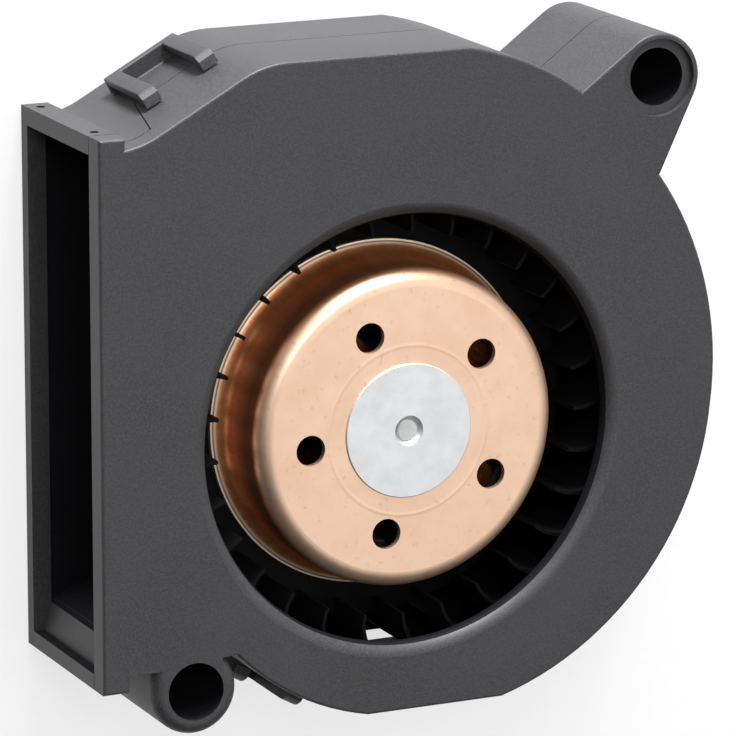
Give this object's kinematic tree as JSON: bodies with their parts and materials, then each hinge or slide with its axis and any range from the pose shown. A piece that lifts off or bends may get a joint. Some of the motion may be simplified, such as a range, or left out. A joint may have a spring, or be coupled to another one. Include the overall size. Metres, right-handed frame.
{
  "type": "dc blower fan",
  "caption": "Radial blower: snail-shaped plastic housing in two halves with round inlet, side outlet and two lugs, and an external-rotor motor carrying a bladed wheel.",
  "frame": {"origin": "the rotor axis at the housing's flat rear face", "axes": "+Z along the rotor axis towards the inlet side, +Y towards the top flat of the scroll, the air leaves towards -X"},
  "size_m": [0.1211, 0.1231, 0.037],
  "materials": {
    "housing": "fine texture",
    "wheel": "satin",
    "cup": "copper coloured plating",
    "hub": "turned",
    "steel": "ground",
    "magnet": "bonded ferrite",
    "tube": "turned",
    "core": "stacked sheet",
    "insulator": "moulded",
    "copper": "enamelled wire",
    "board": "solder mask",
    "chip": "moulded"
  },
  "bodies": {
    "housing": {"rear_housing": "housing", "front_housing": "housing", "bearing_tube": "tube", "rear_outer_ring": "steel", "front_outer_ring": "steel", "stator_core": "core", "upper_insulator": "insulator", "lower_insulator": "insulator", "windings": "copper", "circuit_board": "board", "winding_pins": "tube", "hall_sensor": "chip", "driver_chip": "chip", "capacitor": "hub"},
    "rotor": {"impeller": "wheel", "rotor_cup": "cup", "rotor_hub": "hub", "shaft": "steel", "magnet_ring": "magnet", "rear_inner_ring": "steel", "front_inner_ring": "steel", "preload_washer": "steel", "thrust_washer": "insulator", "retaining_clip": "steel"},
    "rear_cage": {"rear_balls": "steel"},
    "front_cage": {"front_balls": "steel"}
  },
  "joints": [
    {"name": "rotor_spin", "type": "hinge", "parent": "housing", "child": "rotor", "pos_m": [0, 0, 0.02], "axis": [0, 0, 1], "continuous": true},
    {"name": "rear_cage_spin", "type": "hinge", "parent": "housing", "child": "rear_cage", "pos_m": [0, 0, 0.0095], "axis": [0, 0, 1], "continuous": true},
    {"name": "front_cage_spin", "type": "hinge", "parent": "housing", "child": "front_cage", "pos_m": [0, 0, 0.0308], "axis": [0, 0, 1], "continuous": true}
  ],
  "couplings": [
    {"joint": "rear_cage_spin", "follows": "rotor_spin", "ratio": 0.3933},
    {"joint": "front_cage_spin", "follows": "rotor_spin", "ratio": 0.3933}
  ]
}
